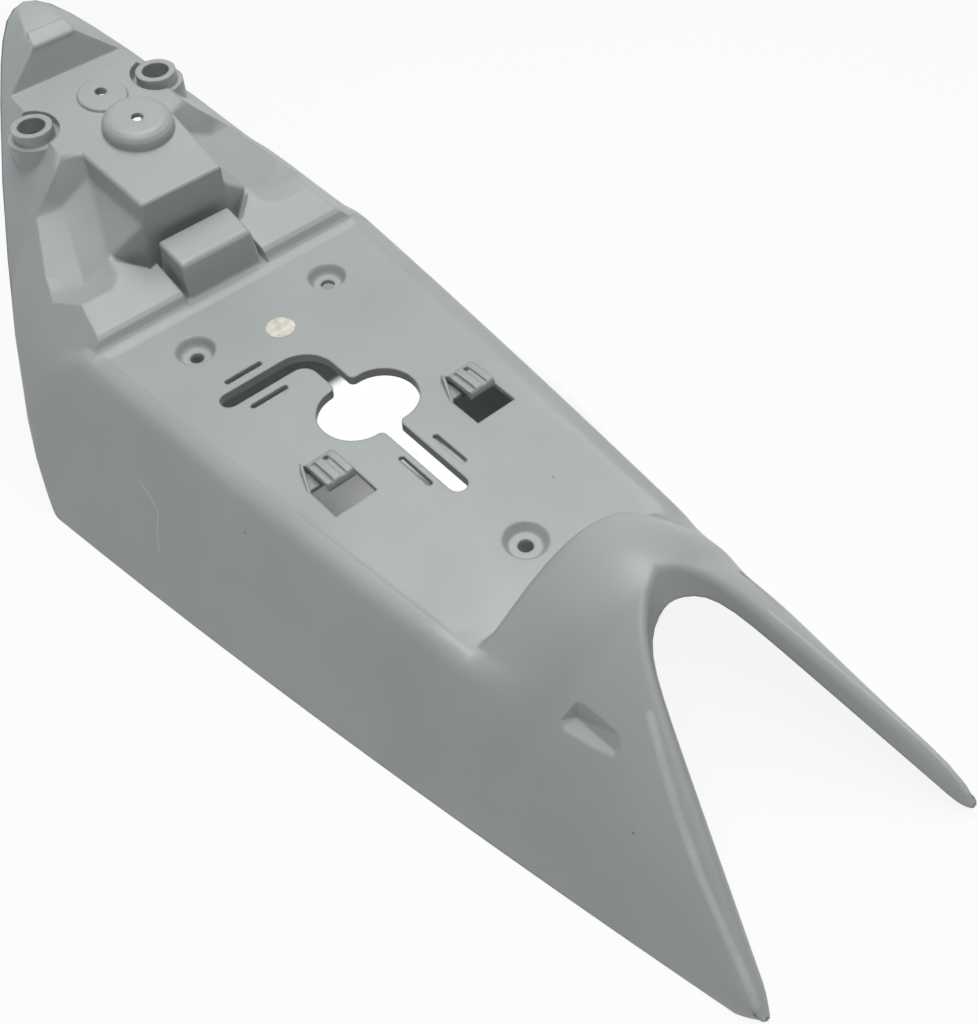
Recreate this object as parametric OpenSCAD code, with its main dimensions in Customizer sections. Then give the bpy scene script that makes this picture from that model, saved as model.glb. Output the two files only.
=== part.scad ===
// Tail cowl of a small motorcycle: one thin moulded shell, and the round sticker on its deck.
// Drawn with the deck flat (x across, y towards the tail, z up from the deck), then tipped so
// that the straight lower edges of both side panels rest on z = 0.

/* [Shell] */
// thickness of the moulded wall
wall = 2.4; // [2.0:0.1:2.8]
// half width of the deck at its front corners
deck_front_half = 51.5; // [49:0.5:54]
// half width of the deck at the step to the tail
deck_rear_half = 74; // [72:0.5:76]
// height of the low rail along both deck edges
rail_rise = 1.2; // [0.8:0.1:1.6]
// radius that rolls each deck edge over into the side panel
shoulder_r = 11; // [9:0.5:12]
// half width between the lower edges at the arm tips
edge_front_half = 65.6; // [64:0.2:67]
// half width between the lower edges at the rear corners
edge_rear_half = 124.6; // [122:0.2:127]

/* [Front hump] */
// height of the hump's rear crest over the deck
crest_rise = 40; // [36:1:44]
// height of the hump just behind the notch
brow_rise = 51; // [48:1:54]
// height of the free edge at the middle of the notch
notch_rise = 36.5; // [34:0.5:39]
// how far the notch's rounded end spreads from the middle line
notch_spread = 16.5; // [14:0.5:19]

/* [Deck] */
// diameter of the bolt holes in the deck
bolt_hole_d = 7; // [6:0.25:8]
// diameter of the recess around the front bolt hole
front_recess_d = 21; // [19:0.5:23]
// depth of the front recess
front_recess_depth = 4.3; // [3.5:0.1:5]
// diameter of the recesses around the two rear bolt holes
rear_recess_d = 20.3; // [19:0.1:22]
// depth of the rear recesses
rear_recess_depth = 5.5; // [4.5:0.1:6]
// distance of each rear bolt hole from the middle line
rear_bolt_half = 39.9; // [38:0.1:42]
// distance from the front bolt hole back to the rear pair
rear_bolt_back = 193.4; // [190:0.2:196]
// radius of the two lobes of the large opening
lobe_r = 18; // [16:0.5:20]
// depth of the flange that hangs from the openings
rim_depth = 5; // [4:0.25:6]
// width of the windows beside the hooks
window_w = 22.8; // [20:0.2:24]
// length of the windows
window_l = 19.5; // [18:0.5:22]

/* [Tail] */
// rise of the step between the deck and the tail ledges
step_rise = 6.3; // [5:0.1:7.5]
// height of the block between the ledges, at its front edge
block_rise = 19.4; // [17:0.2:21]
// height of the tail platform at its front edge
platform_rise = 45; // [43:0.5:47]
// outer diameter of the two tall collars
collar_d = 21; // [20:0.5:23]
// bore of the two tall collars
collar_bore_d = 14; // [12:0.5:15]
// distance of each collar from the middle line
collar_half = 36.4; // [35.5:0.1:37.5]
// diameter of the domed boss on the platform
dome_d = 36; // [34:0.5:38]
// hole through the domed boss
dome_hole_d = 6; // [5:0.25:7]

/* [Sticker] */
// diameter of the round sticker
dot_d = 14.5; // [13:0.5:16]

/* [Hidden] */
$fn = 48;
tips_y = -196;
deck_end_y = -26;
step_y = 221.5;
rest_front_z = -44;
rest_slope = 0.1019;
rest_tilt = atan(rest_slope);
rear_low = [225, -87];
rear_slope = 1.08;
platform_y = 250;
platform_end_y = 353.5;
platform_slope = 0.141;
apex_y = -79;
nose_y = 384.7;
centre_back = 91;
tip_overlap = 0.3;
arm_length = apex_y - tips_y + tip_overlap;
tip_lift = 2.6;
tip_rise_from = 9;
fold_taper = 19.3;
collar_y = 326.7;
dome_at = [6.2, 297];
disc_at = [4.8, 327.5];
disc_d = 25.6;
disc_rise = 1.6;
dome_rise = 8;

// Small helpers on numbers, points and lists
function mix(a, b, f) = a + (b - a) * f;
function unit(v) = v / norm(v);
function flip(p) = [-p[0], p[1], p[2]];
function share(y, y0, y1) = (y - y0) / (y1 - y0);
function hold(f) = min(1, max(0, f));
function bezier(a, b, c, f) = mix(mix(a, b, f), mix(b, c, f), f);
function joined(lists) = [for (l = lists) for (p = l) p];

// Guide lines of the outer skin
function rest_z(y) = rest_front_z - rest_slope * (y - tips_y);
function rear_z(y) = rear_low[1] + rear_slope * (y - rear_low[0]);
function edge_half(y) =
    let (s = share(y, tips_y, step_y))
    mix(edge_front_half, edge_rear_half, s) + 17 * s * (1 - s);
function deck_half(y) =
    let (s = share(y, deck_end_y, step_y))
    mix(deck_front_half, deck_rear_half, s) + 4.4 * s * (1 - s);
function platform_z(y) = platform_rise + platform_slope * (y - platform_y);

// Shoulder: the roll from the rail down into the side panel
function shoulder_point(h, a) = [
    h + 3 + shoulder_r * sin(a),
    rail_rise + 0.2 - shoulder_r * (1 - cos(a))
];
flank_steps = [0, 0.3, 0.6, 0.82];
roll_steps = [63, 42, 21, 0];
top_steps = [0.86, 0.7, 0.53, 0.35, 0.17, 0];

// One cross-section over the deck, from the lower edge to the middle line
function deck_row(y) =
    let (h = deck_half(y), k = shoulder_point(h, 63), low = [edge_half(y), rest_z(y)])
    concat(
        [for (f = flank_steps) let (q = mix(low, k, f)) [q[0] + 6 * f * (1 - f), y, q[1]]],
        [for (a = roll_steps) let (q = shoulder_point(h, a)) [q[0], y, q[1]]],
        [[h, y, 0]],
        [for (u = top_steps) [h * u, y, 0]]
    );

// Point where the hump leaves the line of the deck's rail
function rail_half(y) = mix(deck_front_half, 50, share(y, deck_end_y, -62));
function rail_z(y) = 0.16 * (deck_end_y - y);

// Points of a smooth side section: lower edge a, two guide points, upper end b
function cubic(a, p, q, b, f) = mix(bezier(a, p, q, f), bezier(p, q, b, f), f);
side_steps = [0, 0.14, 0.27, 0.37, 0.41, 0.45, 0.48, 0.51, 0.54, 0.6, 0.68, 0.76, 0.85, 0.93, 1];

// One cross-section over the hump: at y on its sides, bulging forward to yc in the middle
function hump_row(y, yc, zc, b) =
    let (
        h = rail_half(y),
        w = hold(share(y, deck_end_y, -60)),
        low = [edge_half(y), rest_z(y)],
        q = [h, rail_z(y)],
        back = unit(low - q),
        out = [-back[1], back[0]],
        swell = [3.6, 3.1, 2.3, 1.1],
        rolled = [for (n = [0:3]) q + back * [15, 11, 7, 3][n] + out * swell[n]],
        rolls = [for (n = [0:3]) mix(shoulder_point(h, roll_steps[n]), rolled[n], w)],
        k = rolls[0]
    )
    let (
        edged = concat(
            [for (f = flank_steps) let (p = mix(low, k, f)) [p[0] + 6 * f * (1 - f), y, p[1]]],
            [for (p = rolls) [p[0], y, p[1]]],
            [[q[0], y, q[1]]],
            [
                for (u = top_steps)
                    let (g = pow(1 - u * u, b))
                    [h * u, mix(y, yc, g), mix(q[1], zc, g)]
            ]
        ),
        v = pow(hold(share(y, -30, -62)), 0.8),
        l = [low[0], y, low[1]]
    )
    [
        for (c = [0:14])
            mix(edged[c], cubic(l, l + [-19.6, 0, 40], [36, yc, zc], [0, yc, zc], side_steps[c]), v)
    ];

// Free edge of the notch and the fold above it, s millimetres ahead of the notch's end
function notch_edge(s) = [
    0.36 * s + notch_spread * sqrt(1 - exp(-s / 7)) * (1 - exp(-s / 2) * 0.25),
    apex_y - s,
    notch_rise - 0.655 * s
];
function notch_fold(s) =
    let (w = exp(-s / 7), tip = hold(share(s, arm_length - fold_taper, arm_length)))
    notch_edge(s) + mix([3 + 0.012 * s, 0, 7.5 - 4 * tip], [0, 8, 16], w);

// Spacing of the arm's cross-sections, stretched to the length of its free edge
arm_spacing = [0, 0.4, 1.4, 3.2, 6, 10, 15.5, 22.5, 31, 42, 54, 67, 80, 92, 102, 111, 117.3];
arm_last = len(arm_spacing) - 1;
arm_steps = arm_spacing * (arm_length / arm_spacing[arm_last]);

// One cross-section of an arm: lower edge, swelling panel, fold, and the flange down to the free edge
function arm_row(i) =
    let (
        s = arm_steps[i],
        e = notch_edge(s),
        fold = notch_fold(s),
        y = mix(-62, tips_y + 0.5, pow(i / arm_last, 1.15)),
        blunt = tip_lift * hold(share(y, tips_y + tip_rise_from, tips_y + 0.5)),
        low = [edge_half(y) - blunt * 0.45, y, rest_z(y) + blunt],
        w = exp(-i / 1.8),
        chord = fold - low,
        out = unit([chord[2], 0, -chord[0]]),
        swell = min(arm_swell(s), 0.1 * norm(chord)),
        knee = low + chord * 0.5 + out * 2 * swell,
        p = mix(mix(low, knee, 0.67), low + [-19.6, 0, 40], w),
        behind = i == 0 ? [0, -52, brow_rise - 1] : mix(knee, [40, -62, brow_rise + 2], w),
        start = fold + unit(behind - fold) * 5,
        q = mix(mix(start, knee, 0.67), [36, -64, brow_rise], w),
        end = fold + unit(e - fold) * 4.2
    )
    concat(
        [for (f = side_steps) cubic(low, p, q, start, f)],
        [bezier(start, fold, end, 0.33), bezier(start, fold, end, 0.67), end, e]
    );
function arm_swell(s) = 7.6 - 5.2 * sqrt(s / arm_length);

deck_rows = [for (y = [step_y, 186, 147, 108, 68, 28, -6, deck_end_y]) deck_row(y)];
hump_rows = [
    hump_row(-27, -27.6, 2.5, 0.6),
    hump_row(-28, -29.5, crest_rise * 0.5, 1.25),
    hump_row(-29, -31.5, crest_rise * 0.9, 1.3),
    hump_row(-31, -34, crest_rise, 1.3),
    hump_row(-35, -38, crest_rise * 1.045, 1.25),
    hump_row(-43, -45, mix(crest_rise * 1.04, brow_rise, 0.4), 1.15),
    hump_row(-52, -53, mix(crest_rise * 1.04, brow_rise, 0.8), 1.05)
];
brow_row = concat(hump_row(-62, -62, brow_rise, 1), [for (n = [15:18]) arm_row(0)[n]]);
arm_rows = [for (i = [1:arm_last]) arm_row(i)];

rows = concat(deck_rows, hump_rows, [brow_row], arm_rows);
deck_count = len(deck_rows);
closed_count = deck_count + len(hump_rows);
row_count = len(rows);

// Last column of the strip that ends at cross-section r: the rail over the deck, the middle
// over the hump, the free edge on the arms
function last_column(r) = r < deck_count ? 8 : (r <= closed_count ? 14 : 18);

// Outward direction at one point of the skin
function skin_normal(r, c) =
    let (
        here = rows[r],
        shut = r <= closed_count && c == 14,
        mid = r == closed_count && c > 14,
        c_end = len(here) - 1,
        across = (shut && r < closed_count)
            ? flip(here[13]) - here[13]
            : here[min(c + 1, c_end)] - here[max(c - 1, 0)],
        along = mid
            ? rows[r + 1][c] - flip(rows[r + 1][c])
            : rows[min(r + 1, row_count - 1)][c] - rows[max(r - 1, 0)][c],
        n = cross(across, along)
    )
    unit(shut ? [0, n[1], n[2]] : n);

// Inner point behind an outer one
function inner_point(r, c) =
    let (p = rows[r][c])
    c == 0 ? [p[0] - wall * 1.12, p[1], p[2]]
    : (r < deck_count && c >= 8) ? p - [0, 0, wall]
    : p - skin_normal(r, c) * wall * (c == 18 ? 0.8 : 1);

inner_rows = [for (r = [0:row_count - 1]) [for (c = [0:len(rows[r]) - 1]) inner_point(r, c)]];

// Triangles of the skin; those without area are left out
function whole(t) = norm(cross(t[1] - t[0], t[2] - t[0])) > 0.0001;
function quad(a, b, c, d) = [for (t = [[a, b, c], [a, c, d]]) if (whole(t)) t];
function fan(hub, rim) = [
    for (k = [0:len(rim) - 2]) let (t = [hub, rim[k], rim[k + 1]]) if (whole(t)) t
];
function cells(m, turned) = joined([
    for (r = [0:row_count - 2])
        for (c = [0:last_column(r + 1) - 1])
            turned
                ? quad(m[r][c], m[r + 1][c], m[r + 1][c + 1], m[r][c + 1])
                : quad(m[r][c], m[r][c + 1], m[r + 1][c + 1], m[r + 1][c])
]);
function band(a, b) = joined([for (k = [0:len(a) - 2]) quad(a[k], a[k + 1], b[k + 1], b[k])]);
function reversed(l) = [for (k = [len(l) - 1:-1:0]) l[k]];

function column(m, c, r0, r1) = [for (r = [r0:r1]) m[r][c]];
function half_skin() = joined([
    cells(rows, false),
    cells(inner_rows, true),
    band(column(rows, 0, 0, row_count - 1), column(inner_rows, 0, 0, row_count - 1)),
    band(
        reversed(column(rows, 18, closed_count, row_count - 1)),
        reversed(column(inner_rows, 18, closed_count, row_count - 1))
    ),
    band(rows[row_count - 1], inner_rows[row_count - 1]),
    band(
        concat([[0, step_y, 0]], reversed([for (c = [0:8]) rows[0][c]])),
        concat([[0, step_y, -wall]], reversed([for (c = [0:8]) inner_rows[0][c]]))
    )
]);

// Flat of the deck, as one fan around the middle of its rear edge
function deck_outline(m) =
    let (d = deck_count - 1)
    concat(
        [for (r = [0:d]) flip(m[r][8])],
        [for (c = [9:14]) flip(m[d][c])],
        [for (c = [13:-1:9]) m[d][c]],
        [for (r = [d:-1:0]) m[r][8]]
    );
function mirrored_triangles(l) = [for (t = l) [flip(t[0]), flip(t[2]), flip(t[1])]];

module skin() {
    half = half_skin();
    tris = concat(
        half,
        mirrored_triangles(half),
        fan([0, step_y, 0], deck_outline(rows)),
        [for (t = fan([0, step_y, -wall], deck_outline(inner_rows))) [t[0], t[2], t[1]]]
    );
    polyhedron(
        points = joined(tris),
        faces = [for (k = [0:len(tris) - 1]) [3 * k + 2, 3 * k + 1, 3 * k]]
    );
}

// Half width along the open rear edge, from the lower corner up to the tip of the nose
rear_outline = [
    [step_y, edge_rear_half + 2], [232, 122.8], [239, 120.3], [246, 117.4], [259, 110.7],
    [285, 94.2], [310, 76.2],
    [334.4, 57.3], [358.4, 36.7], [369, 26.8], [375.5, 20], [381, 12.8], [383.8, 6.5], [nose_y, 0.6]
];
upper_slope = 0.9;
lower_slope = 0.463;

// Half width and height along the two upper edges of the nose
nose_half = [
    [platform_end_y, 32.3], [357, 12], [363, 10.6], [369, 9.4], [375.5, 7.5], [381, 4.8],
    [383.8, 2.4], [nose_y, 0.3]
];
nose_z = [
    [platform_end_y, 59.4], [357, 77], [363, 80.6], [369, 82.6], [375.5, 84.4], [381, 85.3],
    [383.8, 85.7], [nose_y, 85.8]
];

// Upper corner of the tail's side at y: the platform's edge, then the edges of the nose
function crown(y) =
    y <= platform_end_y
        ? [deck_rear_half + 3 + 0.068 * (y - step_y) - upper_slope * platform_z(y), platform_z(y)]
        : [
            lookup(y, nose_half),
            lookup(y, nose_z)
        ];

// Cross-section of the closed tail body: below the rear edge, side, rounded corner, crown, middle
function tail_row(y) =
    let (
        l = [lookup(y, rear_outline), rear_z(y)],
        k = crown(y),
        n = [0, (k[0] + upper_slope * k[1] - l[0] - lower_slope * l[1]) / (upper_slope - lower_slope)],
        corner = [l[0] - lower_slope * (n[1] - l[1]), n[1]],
        bent = y < 300 && corner[1] > l[1] + 4,
        reach = min(14, 0.45 * norm(l - corner)),
        below = corner + unit(l - corner) * reach,
        above = corner + unit(k - corner) * reach,
        v = hold(share(y, step_y, 262)),
        w = v * v * (3 - 2 * v),
        roll = bent ? [for (f = [0, 0.33, 0.67, 1]) bezier(below, corner, above, f)]
            : [for (f = [0.35, 0.5, 0.65, 0.8]) mix(l, k, f)],
        h = deck_half(step_y) + 0.068 * (y - step_y),
        eased = [for (c = [0:3]) mix(shoulder_point(h, roll_steps[c]), roll[c], w)],
        down = bent ? [l[0] + lower_slope * 25, l[1] - 25] : l + unit(l - k) * 25,
        bulge = 6 * (1 - hold(share(y, 260, 320))),
        side = [for (f = [0.3, 0.6, 0.82]) mix(l, eased[0], f) + [bulge * f * (1 - f), 0]]
    )
    [for (q = concat([down, l], side, eased, [k, [0, k[1]]])) [q[0], y, q[1]]];
function below_edge(a, b) = a + (a - b) * (25 / abs(a[2] - b[2]));
function deck_ring(row, z) = concat(
    [below_edge(row[0], row[1])],
    [for (c = [0:8]) row[c]],
    [[0, step_y, z]]
);
tail_ys = [
    223, 228, 235, 246, 259, 272, 285, 297, 310, 322, 334, 346, platform_end_y,
    357, 363, 369, 375.5, 381, 383.8, nose_y
];
tail_rows = concat([deck_ring(rows[0], 0)], [for (y = tail_ys) tail_row(y)]);

// The same body shrunk by the wall: points move in along the corner between their neighbours
function shrunk(row, d) = [
    for (c = [0:10])
        let (
            p = row[c],
            a = row[max(c - 1, 0)],
            b = row[min(c + 1, 10)],
            u = c == 10 ? [1, 0]
                : (c == 0 ? unit([b[0] - p[0], b[2] - p[2]]) : unit([p[0] - a[0], p[2] - a[2]])),
            v = c == 10 ? [1, 0] : unit([b[0] - p[0], b[2] - p[2]]),
            n1 = [u[1], -u[0]],
            n2 = [v[1], -v[0]],
            m = c == 10 ? [0, 1] : unit(n1 + n2),
            g = c == 10 ? 1 : max(0.6, abs(m * n1))
        )
        [c == 10 ? 0 : max(0.1, p[0] - abs(m[0]) * d / g), p[1], p[2] - abs(m[1]) * d / g]
];
inner_ring = deck_ring(inner_rows[0], -wall);
inner_tail_rows = concat(
    [[for (p = inner_ring) p - [0, 3, 0]], inner_ring],
    [
        for (r = [1:len(tail_rows) - 3])
            let (y = tail_rows[r][0][1])
            [for (q = shrunk(tail_rows[r], wall * 1.1)) q + [0, y > 350 ? wall : 0, 0]]
    ]
);

// Closed body lofted through cross-sections that share their middle line
function loft(m) =
    let (n = len(m) - 1)
    joined([
        joined([
            for (r = [0:n - 1])
                for (c = [0:9]) quad(m[r][c], m[r][c + 1], m[r + 1][c + 1], m[r + 1][c])
        ]),
        joined([for (r = [0:n - 1]) quad(m[r][0], m[r + 1][0], foot(m[r + 1]), foot(m[r]))]),
        reversed_triangles(fan(foot(m[0]), m[0])),
        fan(foot(m[n]), m[n])
    ]);
function foot(row) = [0, row[0][1], row[0][2]];
function reversed_triangles(l) = [for (t = l) [t[0], t[2], t[1]]];

module solid_of(half) {
    tris = concat(half, mirrored_triangles(half));
    polyhedron(
        points = joined(tris),
        faces = [for (k = [0:len(tris) - 1]) [3 * k, 3 * k + 1, 3 * k + 2]]
    );
}

// Space over the tail: step, ledges, trough and the two side pockets, up to a flat lid
lid_z = 100;
function ledge_z(y) = step_rise + 0.25 * (y - 226);
function pocket(d) =
    let (
        side = 115,
        inner = 24.4 + d,
        f0 = [0, 212, -d], f1 = [side, 212, -d],
        s0 = [0, step_y + 0.4 + d, -d], s1 = [side, step_y + 0.4 + d, -d], s = [inner, step_y + 0.4 + d, -d],
        u1 = [side, 223.4 + d, 1.6 - d], u = [inner, 223.4 + d, 1.6 - d],
        v1 = [side, 225 + d, 5 - d], v = [inner, 225 + d, 5 - d],
        t1 = [side, 227 + d, ledge_z(227) - d], t = [inner, 227 + d, ledge_z(227) - d],
        hub = [40, 240, ledge_z(240) - d],
        e = [side, 243.6, ledge_z(243.6) - d],
        c = [51.3, 247, ledge_z(247) - d],
        b = [44.5, 252, ledge_z(252) - d],
        a = [41.5, 262.8, ledge_z(262.8) - d * 1.3],
        i = [29 + d * 0.5, 248.3 - d, ledge_z(248.3) - d],
        h = [inner, 247.5 - d, ledge_z(247.5) - d],
        i2 = [29 + d * 0.5, 248.7 - d, 3 - d], h2 = [inner, 247.9 - d, -d], m2 = [0, 247.9 - d, -d],
        n2 = [0, 254.2 + d, -d], w2 = [25.6 - d, 254.2 + d, -d],
        n = [0, 252 + d, 33 - d], w = [24.6 - d, 252 + d, 33 - d],
        n9 = [0, 241.4 + d, lid_z], w9 = [18.8 - d, 241.4 + d, lid_z],
        vr = [27.6 - d, 294.6 + d, 38.8 - d],
        v9 = [22.4 - d, 309.7 + d, lid_z],
        p2 = [44.6, 296.8 + d, 28.9 - d * 1.1], p9 = [42, 315.4 + d, lid_z],
        p1 = [103, 314.4 + d, 22.4 - d * 1.1], q9 = [103, 334 + d, lid_z],
        p3 = [58.4, 262.6, 6.3 - d * 1.15],
        p4 = [side, 269.1, 2 - d * 1.15],
        up = function (p) [p[0], p[1], lid_z],
        lid = [up(f0), up(f1), up(s1), up(u1), up(v1), up(t1), up(e), up(p4), q9, p9, v9, w9, n9]
    )
    joined([
        fan(f0, [f1, s1, s, s0]), quad(s, s1, u1, u), quad(u, u1, v1, v), quad(v, v1, t1, t),
        fan(hub, [t, t1, e, c, b, a, i, h, t]),
        fan(h2, [s, u, v, t, h]), quad(s0, s, h2, m2),
        quad(h, i, i2, h2), fan(a, [i2, i]),
        quad(m2, h2, w2, n2), quad(h2, i2, w2, w2), fan(a, [w2, i2]),
        quad(n2, w2, w, n), fan(a, [w, w2]), quad(n, w, w9, n9),
        fan(a, [vr, w]), fan(a, [p3, p2, vr]),
        fan(p3, [a, b, c, e, p4, p1, p2]),
        quad(w, vr, v9, w9), quad(vr, p2, p9, v9), quad(p2, p1, q9, p9),
        quad(p1, p4, up(p4), q9), quad(p4, e, up(e), up(p4)),
        quad(e, t1, up(t1), up(e)), quad(t1, v1, up(v1), up(t1)), quad(v1, u1, up(u1), up(v1)),
        quad(u1, s1, up(s1), up(u1)), quad(s1, f1, up(f1), up(s1)), quad(f1, f0, up(f0), up(f1)),
        reversed_triangles(fan([40, 246, lid_z], concat(lid, [up(f0)])))
    ]);

// Block between the ledges; d shrinks it for the hollow inside
module block(d) {
    low = [[22 - d, 225 + d], [21.6 - d, 248.8 - d]];
    high = [[20.6 - d, 227.1 + d * 0.8, block_rise - d], [20.9 - d, 248.1 - d, block_rise + 3.8 - d]];
    z0 = -2 - d * 2;
    polyhedron(
        points = [
            [low[0][0], low[0][1], z0], [low[1][0], low[1][1], z0],
            [-low[1][0], low[1][1], z0], [-low[0][0], low[0][1], z0],
            high[0], high[1],
            [-high[1][0], high[1][1], high[1][2]], [-high[0][0], high[0][1], high[0][2]]
        ],
        faces = [[0, 1, 2, 3], [7, 6, 5, 4], [0, 4, 5, 1], [1, 5, 6, 2], [2, 6, 7, 3], [3, 7, 4, 0]]
    );
}

module tail_solid(rows_used, d) {
    difference() {
        solid_of(loft(rows_used));
        solid_of(pocket(d));
    }
    block(d);
}

// Everything behind the open rear edge, with the rounded lower corner
module behind_tail() {
    far = 470;
    translate([-160, 0, 0])
        rotate([90, 0, 90])
            linear_extrude(320)
                polygon([
                    [step_y - 10, rest_z(step_y - 10)], [step_y, rest_z(step_y)], [225, -85.6],
                    [228.4, -83.1], [232, rear_z(232)], [far, rear_z(far)], [far, -200],
                    [step_y - 10, -200]
                ]);
}

module on_platform(x, y) {
    translate([x, y, platform_z(y)]) rotate([atan(platform_slope), 0, 0]) children();
}
module raised_disc(at, d, high, round_off) {
    on_platform(at[0], at[1])
        rotate_extrude($fn = 48)
            polygon(concat(
                [[0, -0.8], [d / 2, -0.8], [d / 2, high - round_off]],
                [
                    for (a = [22.5:22.5:90])
                        [d / 2 - round_off * (1 - cos(a)), high - round_off * (1 - sin(a))]
                ],
                [[0, high]]
            ));
}
module at_collars() {
    for (side = [-1, 1]) translate([side * collar_half, collar_y, 0]) children();
}
moat_d = collar_d + 5.6;
collar_top = 57.5;
moat_z = 51.5;

module tail_shell() {
    difference() {
        union() {
            difference() {
                tail_solid(tail_rows, 0);
                tail_solid(inner_tail_rows, wall);
            }
            at_collars() translate([0, 0, 22]) cylinder(d = moat_d, h = moat_z - 22);
            for (side = [-1, 1])
                on_platform(side * (collar_half - 4), collar_y)
                    translate([0, 0, -7])
                        cylinder(d = moat_d, h = 6.2);
            raised_disc(dome_at, dome_d, dome_rise, 6);
            raised_disc(disc_at, disc_d, disc_rise, 1);
            nose_pad();
        }
        at_collars() translate([0, 0, moat_z]) cylinder(d = moat_d, h = 30);
        at_collars() translate([0, 0, 10]) cylinder(d = moat_d - 2 * wall, h = moat_z - wall - 10);
        behind_tail();
        for (at = [dome_hole_at, disc_hole_at])
            on_platform(at[0], at[1]) translate([0, 0, -20]) cylinder(d = dome_hole_d, h = 40);
        on_platform(dome_at[0], dome_at[1])
            translate([0, 0, -3.4])
                cylinder(d = dome_d - 12, h = dome_rise - dome_wall + 3.4);
    }
}
dome_hole_at = [5.8, 295.4];
disc_hole_at = [5, 329.1];
dome_wall = 2.6;
module nose_pad() {
    polyhedron(
        points = [
            [-12, 356.6, 74.5], [12, 356.6, 74.5], [10.6, 364, 79], [-10.6, 364, 79],
            [-12, 356.6, 77.6], [12, 356.6, 77.6], [10.6, 364, 82], [-10.6, 364, 82]
        ],
        faces = [[3, 2, 1, 0], [4, 5, 6, 7], [0, 1, 5, 4], [1, 2, 6, 5], [2, 3, 7, 6], [3, 0, 4, 7]]
    );
}
module collars() {
    at_collars() translate([0, 0, moat_z - wall]) cylinder(d = collar_d, h = collar_top - moat_z + wall);
}

// Openings of the deck
lobe_y = 108.5;
lobe_half = 8;
module lobes(r, z0, z1) {
    for (side = [-1, 1]) translate([side * lobe_half, lobe_y, z0]) cylinder(r = r, h = z1 - z0, $fn = 72);
}
module slot_y(x, y0, y1, w, z0, z1) {
    translate([x - w / 2, y0, z0]) cube([w, y1 - y0, z1 - z0]);
    translate([x, y0, z0]) cylinder(d = w, h = z1 - z0);
    translate([x, y1, z0]) cylinder(d = w, h = z1 - z0);
}
module slot_x(y, x0, x1, w, z0, z1) {
    translate([x0, y - w / 2, z0]) cube([x1 - x0, w, z1 - z0]);
    translate([x0, y, z0]) cylinder(d = w, h = z1 - z0);
    translate([x1, y, z0]) cylinder(d = w, h = z1 - z0);
}
slot_w = 9.6;
key_slot_x = -0.9;
slot_y0 = 154;
bend_r = 12.5;
bend_x = -13.2;
module hooked_slot(w, z0, z1) {
    slot_x(slot_y0, -46.6, bend_x, w, z0, z1);
    translate([bend_x, slot_y0 - bend_r, z0])
        rotate_extrude(angle = 90, $fn = 72)
            translate([bend_r - w / 2, 0])
                square([w, z1 - z0]);
    slot_y(bend_x + bend_r, 122, slot_y0 - bend_r, w, z0, z1);
}
// Rounded corner where a slot runs into a lobe; across is the slot's edge, up is 1 or -1
mouth_r = 3;
module mouth_round(across, side, up, grow, z0, z1) {
    edge = across + side * grow;
    big = lobe_r + grow;
    small = mouth_r - grow;
    lobe_x = side * lobe_half;
    hub_x = across + side * mouth_r;
    reach = sqrt(pow(big + small, 2) - pow(hub_x - lobe_x, 2));
    corner = sqrt(pow(big, 2) - pow(edge - lobe_x, 2));
    way = [lobe_x - hub_x, -reach] * small / (big + small);
    inside = edge - side * 0.4;
    translate([0, lobe_y, z0])
        linear_extrude(z1 - z0)
            difference() {
                polygon([
                    [inside, up * (corner - 0.6)], [inside, up * reach],
                    [hub_x, up * reach], [hub_x + way[0], up * (reach + way[1])]
                ]);
                translate([hub_x, up * reach]) circle(r = small);
            }
}
module mouths(grow, z0, z1) {
    for (side = [-1, 1]) {
        mouth_round(key_slot_x + side * slot_w / 2, side, -1, grow, z0, z1);
        mouth_round(bend_x + bend_r + side * slot_w / 2, side, 1, grow, z0, z1);
    }
}

module openings(grow, z0, z1) {
    mouths(grow, z0, z1);
    lobes(lobe_r + grow, z0, z1);
    slot_y(key_slot_x, 43.6, lobe_y, slot_w + 2 * grow, z0, z1);
    hooked_slot(slot_w + 2 * grow, z0, z1);
}
rim_wall = 1.8;
window_half = 41;
window_y = 64.6;
hook_xs = [-39.6, 43];
relief_w = 3;
relief_half = 10;
relief_y = [52.1, 71.3];
relief_off = 10.65;
relief_x = [-40.5, -22.5];
dot_y = 178;
dot_thick = 0.3;

module cup(x, y, d, depth) {
    translate([x, y, -depth - wall]) cylinder(d = d - 1, h = depth + wall - 0.6);
}
module cup_hollow(x, y, d, depth) {
    translate([x, y, 0])
        rotate_extrude($fn = 48)
            polygon([
                [0, 1], [d / 2 + 0.6, 1], [d / 2, 0], [d / 2 - 0.9, -0.8], [d / 2 - 2.2, -depth + 1],
                [d / 2 - 3.2, -depth], [0, -depth]
            ]);
    translate([x, y, -20]) cylinder(d = bolt_hole_d, h = 30);
}

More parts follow.
